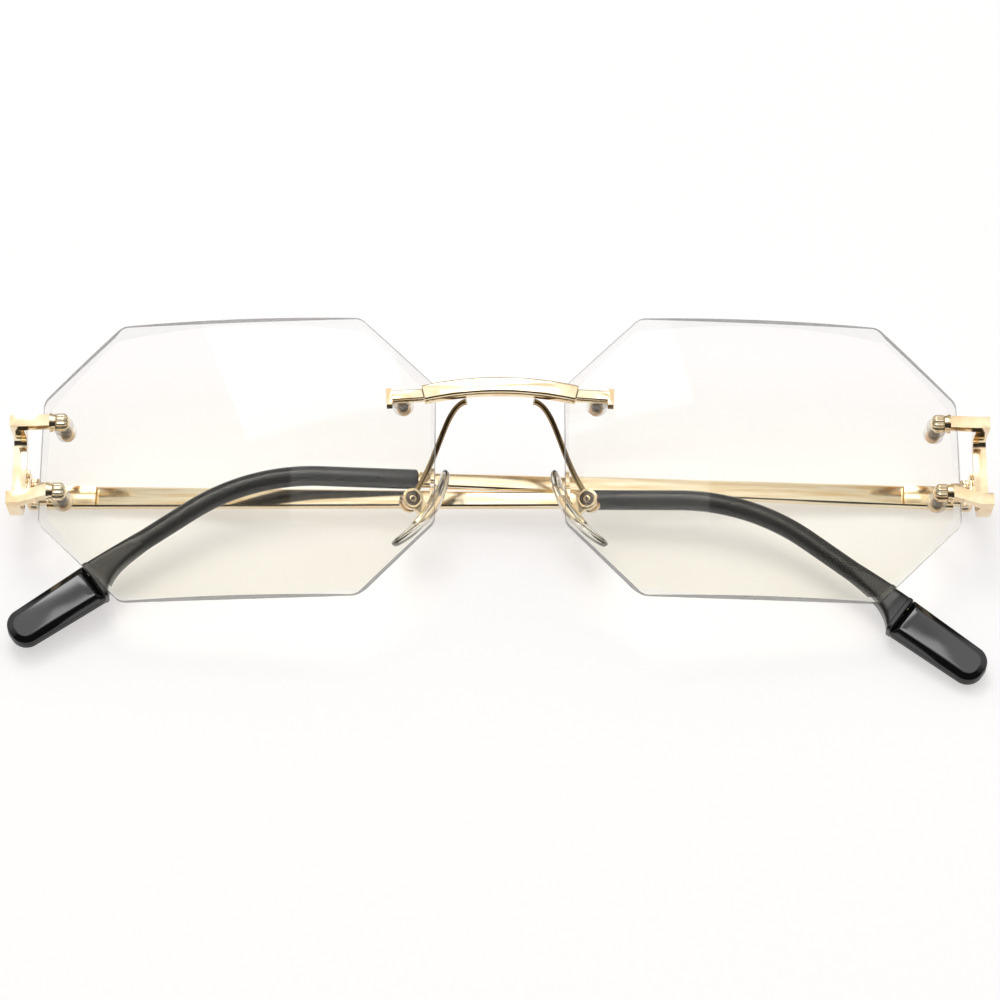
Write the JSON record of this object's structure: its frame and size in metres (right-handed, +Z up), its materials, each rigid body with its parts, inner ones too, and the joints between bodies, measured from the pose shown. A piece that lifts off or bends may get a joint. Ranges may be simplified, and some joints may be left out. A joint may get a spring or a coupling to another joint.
{
  "type": "rimless octagonal eyeglasses",
  "caption": "Rimless eyeglasses with octagonal clear lenses, an arched metal bridge, C-shaped end pieces and folding temples with sleeved, hooked ends.",
  "frame": {"origin": "centre of the folded glasses' bounding box, at its bottom: the table that they rest on", "axes": "+X to the viewer's right across both lenses, +Y away from the viewer towards the lenses' tops, +Z up from the table"},
  "size_m": [0.1358, 0.0491, 0.0216],
  "materials": {
    "clear lens plastic": "gloss",
    "clear washer plastic": "gloss",
    "clear silicone": "satin",
    "pale gold metal": "polished",
    "screw steel": "polished",
    "dark grey sleeve": "matte",
    "black tip": "gloss"
  },
  "bodies": {
    "front": {"lens_left": "clear lens plastic", "lens_right": "clear lens plastic", "bridge": "pale gold metal", "lens_washers_left": "clear washer plastic", "lens_washers_right": "clear washer plastic", "lens_nuts_left": "pale gold metal", "lens_nuts_right": "pale gold metal", "end_piece_left": "pale gold metal", "end_piece_right": "pale gold metal", "fluted_caps_left": "pale gold metal", "fluted_caps_right": "pale gold metal", "hinge_front_left": "pale gold metal", "hinge_front_right": "pale gold metal", "hinge_screw_left": "screw steel", "hinge_screw_right": "screw steel", "pad_arm_left": "pale gold metal", "pad_arm_right": "pale gold metal", "pad_box_left": "pale gold metal", "pad_box_right": "pale gold metal", "pad_screw_left": "screw steel", "pad_screw_right": "screw steel"},
    "temple_left": {"hinge_leaf_left": "pale gold metal", "temple_bar_left": "pale gold metal", "temple_sleeve_left": "dark grey sleeve", "temple_tip_left": "black tip"},
    "temple_right": {"hinge_leaf_right": "pale gold metal", "temple_bar_right": "pale gold metal", "temple_sleeve_right": "dark grey sleeve", "temple_tip_right": "black tip"},
    "pad_left": {"pad_mount_left": "pale gold metal", "nose_pad_left": "clear silicone"},
    "pad_right": {"pad_mount_right": "pale gold metal", "nose_pad_right": "clear silicone"}
  },
  "joints": [
    {"name": "temple_left_fold", "type": "hinge", "parent": "front", "child": "temple_left", "pos_m": [-0.0655, 0.00565, 0.0026], "axis": [0.0262, 0.9704, 0.2401], "range_deg": [0, 93.5]},
    {"name": "temple_right_fold", "type": "hinge", "parent": "front", "child": "temple_right", "pos_m": [0.0655, 0.00565, 0.0026], "axis": [-0.0131, -0.9706, -0.2402], "range_deg": [0, 93.5]},
    {"name": "nose_pad_left_rock", "type": "hinge", "parent": "front", "child": "pad_left", "pos_m": [-0.0123, -0.00058, 0.00986], "axis": [0.2312, -0.3766, 0.8971], "range_deg": [-10, 10]},
    {"name": "nose_pad_right_rock", "type": "hinge", "parent": "front", "child": "pad_right", "pos_m": [0.0123, -0.00058, 0.00986], "axis": [-0.2312, -0.3766, 0.8971], "range_deg": [-10, 10]}
  ]
}
